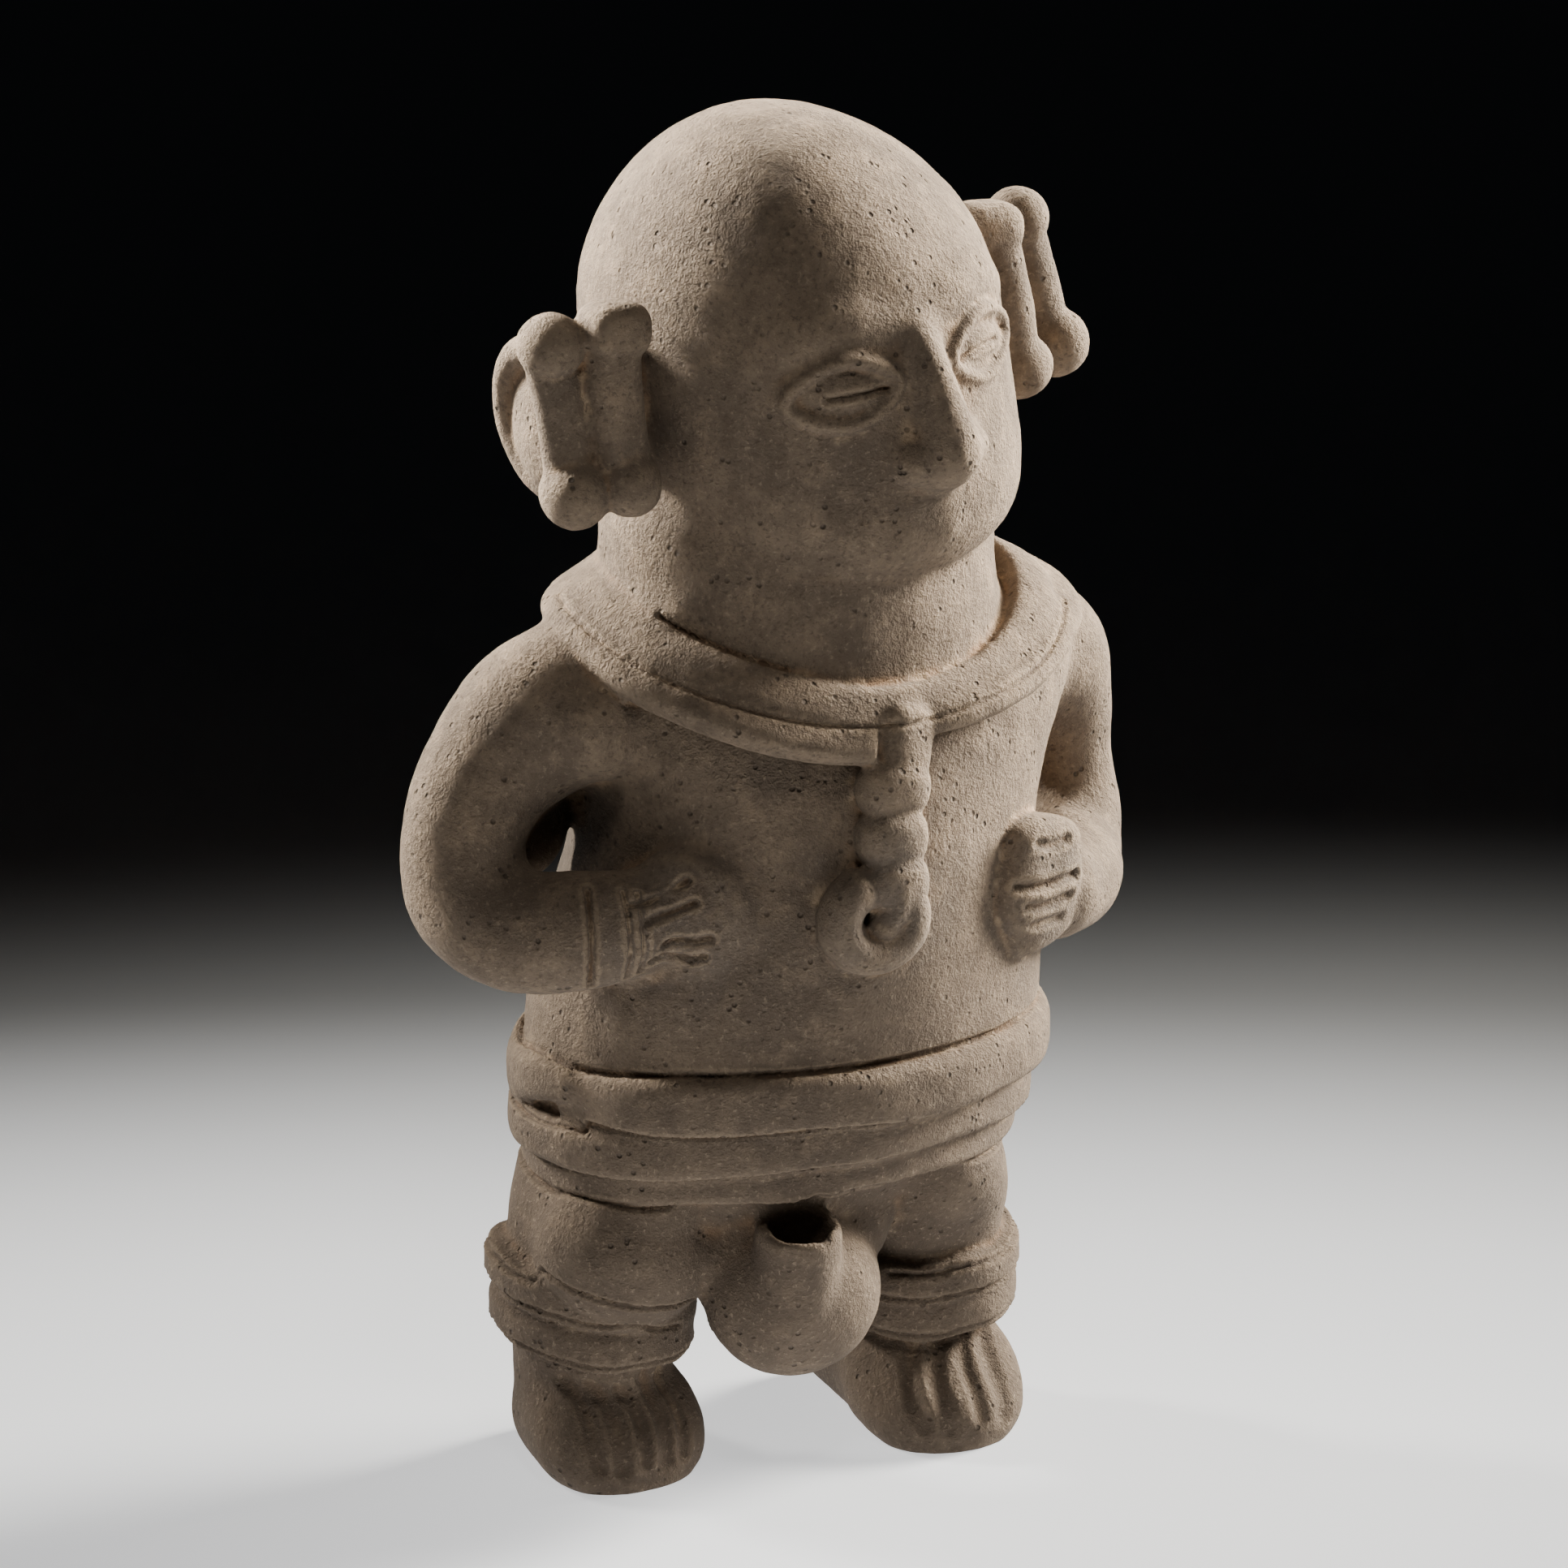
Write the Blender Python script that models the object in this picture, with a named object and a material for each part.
"""Pottery standing figure: one fired clay piece, modelled as a potter builds it.

Plain closed shells stand for the masses and the rolls of clay. They are fused into
one skin, smoothed as a wet hand would, cut with a point, and thinned to a few
thousand flat faces. Metres, +Z up, soles on Z = 0, the figure faces -Y.
"""
import math

import bmesh
import bpy
import numpy as np
from mathutils import Euler, Matrix, Vector
from mathutils.bvhtree import BVHTree

# Driving sizes
FIGURE_HEIGHT = 0.290      # soles to crown
BORE_DIAMETER = 0.0136     # open bore of the broken stub
BORE_DEPTH = 0.013         # how far the bore goes down from the break
SOLE_DEPTH = 0.0015        # what is pared off under each foot to make it flat

# The free form is written in parts of its height: a share is 1/290 of it
SHARE = FIGURE_HEIGHT / 290
BODY_VOXEL = 1.7 * SHARE
SKIN_VOXEL = 1.15 * SHARE
FACES_AIMED_AT = 9300

RING_SIDES = 40
RING_STEP = 2.5            # shares between rings along a shell

# Centres, in shares
HEAD = Vector((6.4, 2.0, 243.5))
HEAD_TURN = Euler((0, math.radians(-6), math.radians(9)))
LEG_RIGHT = Vector((-43.0, 7.0, 0.0))
LEG_LEFT = Vector((33.5, 1.0, 0.0))
TOES_RIGHT = Vector((-41.0, -13.5, 0.0))
TOES_LEFT = Vector((30.0, -21.5, 0.0))
STUB_FOOT = Vector((-13.0, -30.0, 40.0))
STUB_BREAK = Vector((-14.0, -35.5, 60.5))
BELT_TILT = math.radians(1.2)
CUTTER_PROUD = 4 * SHARE   # how far the bore's cutter stands out of the break


def clear_scene():
    for thing in list(bpy.data.objects):
        bpy.data.objects.remove(thing)


def smooth_rows(rows, step=RING_STEP, closed=False):
    """Rows read at an even step along a Catmull-Rom curve through the given rows."""
    keys = np.array(rows, dtype=float)
    if closed:
        padded = np.vstack([keys[-1], keys, keys[0], keys[1]])
    else:
        padded = np.vstack([2 * keys[0] - keys[1], keys, 2 * keys[-1] - keys[-2]])
    out = []
    for before, here, there, after in zip(padded, padded[1:], padded[2:], padded[3:]):
        length = np.linalg.norm(there[:3] - here[:3])
        count = max(1, int(round(length / step)))
        for t in np.arange(count) / count:
            out.append(0.5 * (2 * here + (there - before) * t
                              + (2 * before - 5 * here + 4 * there - after) * t ** 2
                              + (3 * here - before - 3 * there + after) * t ** 3))
    if not closed:
        out.append(keys[-1])
    return np.array(out)


def kept(clay, bm):
    """Add one closed shell to the clay and free its working mesh."""
    bmesh.ops.recalc_face_normals(bm, faces=bm.faces)
    mesh = bpy.data.meshes.new("shell")
    bm.to_mesh(mesh)
    bm.free()
    clay.append(mesh)


def ring(bm, centre, across, through, capped):
    """An ellipse of vertices; across and through are its two half-axis vectors."""
    along = across.cross(through).normalized()
    frame = Matrix((across * SHARE, through * SHARE, along * SHARE)).transposed().to_4x4()
    frame.translation = centre * SHARE
    made = bmesh.ops.create_circle(bm, cap_ends=capped, segments=RING_SIDES, radius=1, matrix=frame)
    return list({edge for vert in made["verts"] for edge in vert.link_edges})


def bridge(bm, rings, closed=False):
    pairs = list(zip(rings, rings[1:]))
    if closed:
        pairs.append((rings[-1], rings[0]))
    for low, high in pairs:
        bmesh.ops.bridge_loops(bm, edges=low + high)


def mass(clay, rows, turn=None, origin=Vector()):
    """Closed shell over level ellipses: rows of z, centre x, centre y, half width, half depth."""
    bm = bmesh.new()
    keys = [(x, y, z, a, b) for z, x, y, a, b in rows]
    rings = []
    levels = smooth_rows(keys)
    spin = turn.to_matrix() if turn else Matrix.Identity(3)
    for index, (x, y, z, a, b) in enumerate(levels):
        capped = index in (0, len(levels) - 1)
        centre = origin + spin @ Vector((x, y, z))
        rings.append(ring(bm, centre, spin @ Vector((a, 0, 0)), spin @ Vector((0, b, 0)), capped))
    bridge(bm, rings)
    kept(clay, bm)


def roll(clay, rows, facing, closed=False, blunt=False, step=RING_STEP):
    """A rolled coil of clay: rows of x, y, z, half width, half thickness.

    The thickness lies towards facing, a function of the point. Ends are round or blunt."""
    bm = bmesh.new()
    path = smooth_rows(rows, step, closed)
    points = [Vector(row[:3]) for row in path]
    count = len(points)
    rings = []
    for index, point in enumerate(points):
        if closed:
            along = points[(index + 1) % count] - points[index - 1]
        else:
            along = points[min(index + 1, count - 1)] - points[max(index - 1, 0)]
        along.normalize()
        out = facing(point)
        through = (out - along * out.dot(along)).normalized()
        across = through.cross(along)
        wide, thick = path[index][3], path[index][4]
        capped = not closed and index in (0, count - 1)
        rings.append(ring(bm, point, across * wide, through * thick, capped))
    bridge(bm, rings, closed)
    kept(clay, bm)
    if not closed and not blunt:
        for end, (wide, thick) in ((0, path[0][3:5]), (-1, path[-1][3:5])):
            lump(clay, points[end], (wide, thick, min(wide, thick)),
                 end_frame(points, end, facing))


def end_frame(points, end, facing):
    """Axes of a coil's end: across, out, along."""
    along = (points[0] - points[1]) if end == 0 else (points[-1] - points[-2])
    along.normalize()
    out = facing(points[end])
    through = (out - along * out.dot(along)).normalized()
    return Matrix((through.cross(along), through, along)).transposed()


def lump(clay, centre, radii, frame=None):
    """A ball of clay pressed to three half sizes."""
    bm = bmesh.new()
    turn = frame if frame is not None else Matrix.Identity(3)
    size = Matrix.Diagonal(Vector(radii) * SHARE)
    place = (turn @ size).to_4x4()
    place.translation = centre * SHARE
    bmesh.ops.create_uvsphere(bm, u_segments=28, v_segments=18, radius=1, matrix=place)
    kept(clay, bm)


def away_from(centre_x, centre_y, lift=0.0):
    """Facing function: straight out from an upright axis."""
    def out(point):
        return Vector((point.x - centre_x, point.y - centre_y, lift))
    return out


def on_head(x, y, z):
    return HEAD + HEAD_TURN.to_matrix() @ Vector((x, y, z))


def add_trunk(clay):
    mass(clay, [
        (56, -5, 4, 40, 27), (62, -4.5, 4, 47, 32), (72, -3, 3.5, 51.5, 38),
        (84, 0, 3, 56, 42), (96, 1.5, 2.5, 58, 44), (112, 2.5, 2, 57, 44.5),
        (126, 4, 2, 54, 44), (140, 6, 2, 51, 43), (154, 7.5, 2.5, 52, 41.5),
        (166, 8.5, 3.5, 57, 39.5), (176, 9.5, 5, 59, 37), (184, 10, 7, 54, 34),
        (190, 9.5, 8, 46, 33), (196, 9, 8, 36, 30), (200, 9, 8, 26, 24)])
    mass(clay, [(168, 7, 3, 44, 39), (182, 6.5, 3, 43, 38.5), (196, 5.5, 3, 42.5, 38),
                (210, 5, 3, 42, 38), (220, 5.5, 3, 38, 36)])


def add_head(clay):
    mass(clay, [
        (-45.5, 0, -11, 15, 16), (-43.5, 0, -9, 25, 25), (-39, 0, -7, 34, 33),
        (-31, 0, -4, 40, 39.5), (-19, 0, -1, 43.5, 43), (-4, 0, 1, 44.5, 45.5),
        (10, 0, 2.5, 44.5, 46), (22, 0, 3, 41.5, 43.5), (32, 0, 3, 35, 37.5),
        (40, 0, 3, 26, 28.5), (45, 0, 3, 17, 18), (47, 0, 3, 8, 8)],
         HEAD_TURN, HEAD)


def add_arm(clay, rows):
    roll(clay, [(x, y, z, r, r) for x, y, z, r in rows], facing=lambda p: Vector((0.15, 1, 0.1)))


def add_arms(clay):
    """Hands on the belly, elbows out; the right arm is the heavier one."""
    add_arm(clay, [(-44, 5, 172, 17.5), (-57, 5, 168, 17.5), (-67.5, 5, 158.5, 14.5),
                   (-73, 3, 146, 13), (-73, 0, 134, 13.5), (-67, -9, 127.5, 13),
                   (-54.5, -18, 127.5, 12), (-43, -25, 129.5, 10)])
    add_arm(clay, [(56, 6, 170, 17), (68, 9, 166.5, 15.5), (75, 13, 155, 12.5), (77, 15, 141, 11.5),
                   (76.5, 13, 128, 12.5), (71, 5, 120, 12.5), (63.5, -9, 118.5, 11.5),
                   (53, -20, 120, 11)])


def add_leg(clay, leg):
    out = math.copysign(1, leg.x)
    hip = Vector((leg.x - 10 * out, leg.y - 3, 0))
    mass(clay, [
        (6, leg.x, leg.y + 2, 15, 16), (16, leg.x, leg.y + 1, 16, 17),
        (30, leg.x, leg.y, 17, 18), (44, leg.x, leg.y - 1, 18.5, 20),
        (58, leg.x - 3 * out, hip.y, 20.5, 24), (70, leg.x - 8 * out, hip.y, 21, 27),
        (80, hip.x, hip.y, 18, 26)])
    lump(clay, Vector((leg.x - 2 * out, leg.y - 9, 57)), (18.5, 16, 15))


def add_foot(clay, ankle, toe, half_width):
    """A wedge of clay from the heel to the toes, sloping down steeply in front."""
    reach = toe - ankle
    side = Vector((-reach.y, reach.x, 0)).normalized()
    rows = [(-0.95, 6.5, 0.55, 6.5), (-0.75, 10, 0.78, 12), (-0.4, 12, 0.9, 16),
            (0.1, 13, 0.95, 18), (0.5, 11, 1.0, 15), (0.8, 8, 0.98, 11),
            (1.02, 5.5, 0.88, 8.3), (1.16, 4.4, 0.66, 6.2), (1.24, 4.0, 0.35, 4)]
    bm = bmesh.new()
    rings = []
    for index, (t, height, wide, tall) in enumerate(rows):
        centre = ankle + reach * t + Vector((0, 0, height))
        rings.append(ring(bm, centre, side * half_width * wide, Vector((0, 0, tall)),
                          index in (0, len(rows) - 1)))
    bridge(bm, rings)
    kept(clay, bm)


def add_legs(clay):
    for leg, toe in ((LEG_RIGHT, TOES_RIGHT), (LEG_LEFT, TOES_LEFT)):
        add_leg(clay, leg)
        add_foot(clay, leg, toe, 20)


def add_pouch(clay):
    lump(clay, Vector((-12, -23, 41)), (18, 16.5, 18))
    lump(clay, Vector((-11, -15, 53)), (17, 15, 14))
    roll(clay, [(*STUB_FOOT, 9.5, 9.5), (*STUB_FOOT.lerp(STUB_BREAK, 0.6), 9.2, 9),
                (*STUB_BREAK, 9.2, 8.8)], facing=lambda p: Vector((0, -1, 0)), blunt=True)


def add_nose(clay):
    roll(clay, [(*on_head(0, -41, 8), 3.6, 3), (*on_head(0, -44.5, -2), 4, 4.5),
                (*on_head(0, -48.5, -11), 5, 5.5), (*on_head(0, -50, -17), 5.8, 5.2),
                (*on_head(0, -46, -20.5), 5.5, 4)],
         facing=lambda p: Vector((0.15, -1, 0)))
    for side in (-1, 1):
        lump(clay, on_head(5.6 * side, -43.5, -17.5), (4.4, 5, 4))


def add_brow(clay):
    for side in (-1, 1):
        roll(clay, [(*on_head(4 * side, -42.5, 9), 4, 2.2), (*on_head(14 * side, -40.5, 13), 4.5, 2.4),
                  (*on_head(25 * side, -35.5, 12), 4, 2.2), (*on_head(33 * side, -29, 6), 3, 1.6)],
             facing=lambda p: p - HEAD)


def add_mouth(clay):
    for lift, wide, proud in ((-29.0, 11, 2.3), (-33.0, 9, 2.6)):
        roll(clay, [(*on_head(-wide, -38, lift), 1.6, 1.2), (*on_head(0, -42, lift + 0.6), 2.1, proud),
                    (*on_head(wide, -38, lift), 1.6, 1.2)], facing=lambda p: p - HEAD)


def add_eyes(clay):
    """An almond of clay with a raised rim, pressed on at half the head's height."""
    for side in (-1, 1):
        middle = Vector((17.5 * side, -38.2, 0))
        rim = []
        for turn in np.radians(np.arange(0, 360, 30)):
            x = middle.x + 9.6 * math.cos(turn)
            z = middle.z + 5.8 * math.sin(turn) * (1 - 0.25 * abs(math.cos(turn)))
            y = -math.sqrt(max(44.2 ** 2 - x * x, 0)) + 1.4
            rim.append((*on_head(x, y, z), 1.5, 1.7))
        roll(clay, rim, facing=lambda p: p - HEAD, closed=True, step=1.2)
        frame = Euler((0, 0, math.radians(9 + 22 * side))).to_matrix()
        lump(clay, on_head(middle.x, middle.y - 0.6, middle.z), (8.2, 3.6, 4.4), frame)


def add_ear_ornament(clay, side):
    """Slab against the head, roll with a knob at each end, and a half-moon behind."""
    def facing(point):
        return Vector((side, 0, 0))

    roll(clay, [(*on_head(48 * side, -7, 17), 6.5, 7), (*on_head(50 * side, -6, 10), 6, 6.5),
                (*on_head(51 * side, -6, -4), 6, 6.5), (*on_head(50.5 * side, -6, -14), 6.2, 6.5),
                (*on_head(49.5 * side, -8, -19), 7.5, 7)], facing=facing)
    roll(clay, [(*on_head(61.5 * side, -1, 11), 5.6, 5.6), (*on_head(64 * side, -1, -3), 5.6, 5.6),
                (*on_head(63 * side, -1, -16), 5.8, 5.8)], facing=facing)
    lump(clay, on_head(61 * side, -1, 13.5), (6.6, 7, 6.2))
    lump(clay, on_head(63 * side, -2, -18), (7.6, 8.4, 7.8))
    moon = []
    for turn in np.radians(np.arange(-80, 81, 20)):
        moon.append((*on_head(60 * side, 3 + 17 * math.cos(turn), -3 + 17.5 * math.sin(turn)), 3.4, 3.6))
    roll(clay, moon, facing=facing)
    lump(clay, on_head(56 * side, 6, -3), (4.4, 13, 16.5))


def around(centre_x, centre_y, half_x, half_y, height, wide, thick, start=0, sweep=360, step=15):
    """Rows for a strand that runs round the body; half_y and height follow the angle."""
    rows = []
    for degrees in np.arange(start, start + sweep, step):
        turn = math.radians(degrees)
        rows.append((centre_x + half_x * math.cos(turn), centre_y + half_y(turn) * math.sin(turn),
                     height(turn), wide, thick))
    return rows


def add_collar(clay):
    """Two flat strands side by side, low in front and high on the nape."""
    out = away_from(8, 4, 26)
    roll(clay, around(8.5, 2, 54.5, lambda t: 41.5 - 1.5 * math.sin(t),
                      lambda t: 181 + 14.5 * math.sin(t), 4.6, 3.2), facing=out, closed=True)
    roll(clay, around(8, 2, 48.5, lambda t: 39.5 - 1 * math.sin(t),
                      lambda t: 187 + 14.5 * math.sin(t), 4.6, 3.2), facing=out, closed=True)


def add_pendant(clay):
    """Three knots below the collar, then a curl with a tongue in it."""
    def out(point):
        return Vector((0.1, -1, 0))

    for x, y, z, wide, tall in ((5, -38.5, 162, 5.5, 7), (3.5, -40.5, 156, 7.4, 6.4),
                                (3, -42, 146.5, 7.4, 6.6), (3, -43, 137, 7.2, 6)):
        lump(clay, Vector((x, y, z)), (wide, 5.2, tall))
    curl = []
    for degrees in np.arange(118, 400, 19):
        turn = math.radians(degrees)
        curl.append((0.5 + 6.4 * math.cos(turn), -43.5, 127.5 + 6.6 * math.sin(turn), 4.2, 4.8))
    roll(clay, curl, facing=out, step=1.5)
    roll(clay, [(3, -44, 136, 4, 4.5), (2.8, -44.5, 131, 3.4, 4), (2.4, -44, 127, 2.4, 3)], facing=out)


def add_belt(clay):
    """Three rolls one above the other; the top one laps over its own start."""
    tilt = math.tan(BELT_TILT)
    out = away_from(-1, 3)
    for z, half_x, half_y, wide, thick in ((80.2, 55.4, 41.2, 4.2, 3.0), (73.8, 52.6, 38.6, 3.8, 2.5)):
        roll(clay, around(-1, 3, half_x, lambda t, b=half_y: b,
                          lambda t, z=z, a=half_x: z - a * math.cos(t) * tilt, wide, thick),
             facing=out, closed=True)
    roll(clay, around(1, 2.5, 57, lambda t: 43.2,
                      lambda t: 88.6 - 57 * math.cos(t) * tilt, 6, 3.2, start=215, sweep=371),
         facing=out)


def add_anklets(clay):
    for leg in (LEG_RIGHT, LEG_LEFT):
        side = math.copysign(1, leg.x)
        for z, half in ((41, 19), (33.5, 18.5)):
            roll(clay, around(leg.x, leg.y - 0.5, half - 0.5, lambda t, b=half + 1: b,
                              lambda t, z=z: z + 1.5 * math.sin(t) + 1.5 * side * math.cos(t),
                              4.5, 3.8),
                 facing=away_from(leg.x, leg.y), closed=True)


def add_hands(clay):
    turned = Euler((0, math.radians(8), math.radians(-38))).to_matrix()
    lump(clay, Vector((-40, -27, 132)), (16, 7, 13), turned)
    turned = Euler((0, math.radians(12), math.radians(48))).to_matrix()
    lump(clay, Vector((46.5, -25, 123)), (14, 8.5, 14.5), turned)
    lump(clay, Vector((41.5, -30, 122.5)), (9.5, 7, 13), turned)


def finished(mesh, *modifiers):
    """The mesh as the given modifiers leave it; each is a type and its settings."""
    thing = bpy.data.objects.new("working", mesh)
    bpy.context.scene.collection.objects.link(thing)
    for kind, settings in modifiers:
        modifier = thing.modifiers.new(kind, kind)
        for name, value in settings.items():
            setattr(modifier, name, value)
    ready = thing.evaluated_get(bpy.context.evaluated_depsgraph_get())
    result = bpy.data.meshes.new_from_object(ready)
    bpy.data.objects.remove(thing)
    bpy.data.meshes.remove(mesh)
    return result


def fused(clay, voxel, passes):
    """One skin over all the shells, smoothed where they meet."""
    bm = bmesh.new()
    for shell in clay:
        bm.from_mesh(shell)
        bpy.data.meshes.remove(shell)
    mesh = bpy.data.meshes.new("shells")
    bm.to_mesh(mesh)
    bm.free()
    return finished(mesh, ("REMESH", {"mode": "VOXEL", "voxel_size": voxel}),
                    ("SMOOTH", {"factor": 0.5, "iterations": passes}))


def cut_lines(mesh, lines):
    """Grooves drawn with a point: rows of points, half width and depth, in shares.

    Each line is laid on the nearest skin first; the skin sinks where a line passes."""
    bm = bmesh.new()
    bm.from_mesh(mesh)
    tree = BVHTree.FromBMesh(bm)
    bm.free()
    places = np.empty(3 * len(mesh.vertices))
    mesh.vertices.foreach_get("co", places)
    places = places.reshape(-1, 3)
    normals = np.empty(3 * len(mesh.vertices))
    mesh.vertex_normals.foreach_get("vector", normals)
    normals = normals.reshape(-1, 3)
    sunk = np.zeros(len(places))
    for points, half_width, depth in lines:
        drawn = smooth_rows(points, step=0.8)
        laid = np.array([tree.find_nearest(Vector(point) * SHARE)[0] for point in drawn])
        reach = half_width * SHARE
        inside = np.all((places > laid.min(0) - reach) & (places < laid.max(0) + reach), axis=1)
        close = places[inside]
        near = np.full(len(close), np.inf)
        for start, end in zip(laid, laid[1:]):
            span = end - start
            square = max(float(span @ span), 1e-12)
            t = np.clip((close - start) @ span / square, 0, 1)
            gap = np.linalg.norm(close - (start + t[:, None] * span), axis=1)
            near = np.minimum(near, gap)
        depths = depth * SHARE * np.clip(1 - (near / reach) ** 2, 0, 1)
        sunk[inside] = np.maximum(sunk[inside], depths)
    places -= normals * sunk[:, None]
    mesh.vertices.foreach_set("co", places.ravel())


def drawn_lines():
    """Toes, fingers, wrist bands and the slits of the eyes."""
    lines = []
    for ankle, toe, across in ((LEG_RIGHT, TOES_RIGHT, (-13, -7, -1.5, 4, 9.5, 14)),
                               (LEG_LEFT, TOES_LEFT, (-11, -5, 1, 7, 13))):
        for x in across:
            lines.append(([(ankle.x + 0.75 * x, toe.y + 11, 26), (toe.x + 0.95 * x, toe.y + 1, 17),
                           (toe.x + x, toe.y - 8, 8)], 1.5, 1.6))
    for x, z in ((-40, 141), (-36, 135.5), (-34.5, 129.5), (-35.5, 124)):
        lines.append(([(x - 4.5, -36, z - 1.5), (x, -38, z), (x + 4.5, -40, z + 1.5)], 1.3, 1.5))
    for x, y in ((-56, -27), (-50, -31)):
        lines.append(([(x + 1, y + 4, 141), (x, y, 132), (x, y + 1, 120)], 1.2, 1.3))
    for z, reach in ((131, 4), (125.5, 7), (121, 4), (116.5, 7)):
        lines.append(([(45 - reach, -40 + reach * 0.3, z), (50, -36, z - 0.6),
                       (53, -33, z - 1)], 1.3, 1.4))
    for side in (-1, 1):
        lines.append(([tuple(on_head((17.5 + x) * side, -43, -0.4 - abs(x) * 0.04))
                       for x in (-6, -2, 2, 6)], 1.1, 1.3))
    return lines


def pare_soles(mesh):
    """Cut the feet flat on Z = 0 and close the cuts."""
    bm = bmesh.new()
    bm.from_mesh(mesh)
    geometry = list(bm.verts) + list(bm.edges) + list(bm.faces)
    cut = bmesh.ops.bisect_plane(bm, geom=geometry, plane_co=(0, 0, SOLE_DEPTH),
                                 plane_no=(0, 0, 1), clear_inner=True, dist=1e-7)
    edges = [item for item in cut["geom_cut"] if isinstance(item, bmesh.types.BMEdge)]
    filled = bmesh.ops.contextual_create(bm, geom=edges)
    bmesh.ops.triangulate(bm, faces=filled["faces"])
    bmesh.ops.translate(bm, verts=bm.verts, vec=(0, 0, -SOLE_DEPTH))
    bm.to_mesh(mesh)
    bm.free()


def centred(mesh):
    """Move the middle of the figure's box over the origin; the shift is handed back."""
    places = np.array([vertex.co for vertex in mesh.vertices])
    middle = (places.min(axis=0) + places.max(axis=0)) / 2
    shift = Vector((-middle[0], -middle[1], 0))
    mesh.transform(Matrix.Translation(shift))
    return shift


def bore_cutter(shift):
    """The hollow of the stub, open at the break."""
    axis = (STUB_BREAK - STUB_FOOT).normalized()
    bm = bmesh.new()
    bmesh.ops.create_cone(bm, cap_ends=True, segments=24, radius1=BORE_DIAMETER / 2,
                          radius2=BORE_DIAMETER / 2, depth=BORE_DEPTH + CUTTER_PROUD)
    mesh = bpy.data.meshes.new("bore_cutter")
    bm.to_mesh(mesh)
    bm.free()
    cutter = bpy.data.objects.new("bore_cutter", mesh)
    middle = STUB_BREAK * SHARE + axis * (CUTTER_PROUD - BORE_DEPTH) / 2 + shift
    cutter.matrix_world = (Matrix.Translation(middle - Vector((0, 0, SOLE_DEPTH)))
                           @ axis.to_track_quat("Z", "Y").to_matrix().to_4x4())
    cutter.hide_render = True
    cutter.display_type = "WIRE"
    return cutter


def clay_material():
    material = bpy.data.materials.new("fired_clay")
    material.use_nodes = True
    shader = material.node_tree.nodes["Principled BSDF"]
    shader.inputs["Base Color"].default_value = (0.27, 0.215, 0.17, 1)
    shader.inputs["Roughness"].default_value = 0.9
    return material


def build():
    clear_scene()
    clay = []
    for add in (add_trunk, add_head, add_arms, add_legs, add_pouch, add_nose, add_brow, add_mouth):
        add(clay)
    clay = [fused(clay, BODY_VOXEL, 9)]
    for add in (add_eyes, add_collar, add_pendant, add_belt, add_anklets, add_hands):
        add(clay)
    for side in (-1, 1):
        add_ear_ornament(clay, side)
    mesh = fused(clay, SKIN_VOXEL, 3)
    cut_lines(mesh, drawn_lines())
    faces = 2 * len(mesh.polygons)
    mesh = finished(mesh, ("DECIMATE", {"ratio": FACES_AIMED_AT / faces}))
    pare_soles(mesh)
    shift = centred(mesh)
    mesh.name = "figure"
    mesh.materials.append(clay_material())
    figure = bpy.data.objects.new("figure", mesh)
    cutter = bore_cutter(shift)
    for thing in (figure, cutter):
        bpy.context.scene.collection.objects.link(thing)
    bore = figure.modifiers.new("bore", "BOOLEAN")
    bore.operation = "DIFFERENCE"
    bore.solver = "EXACT"
    bore.object = cutter


build()
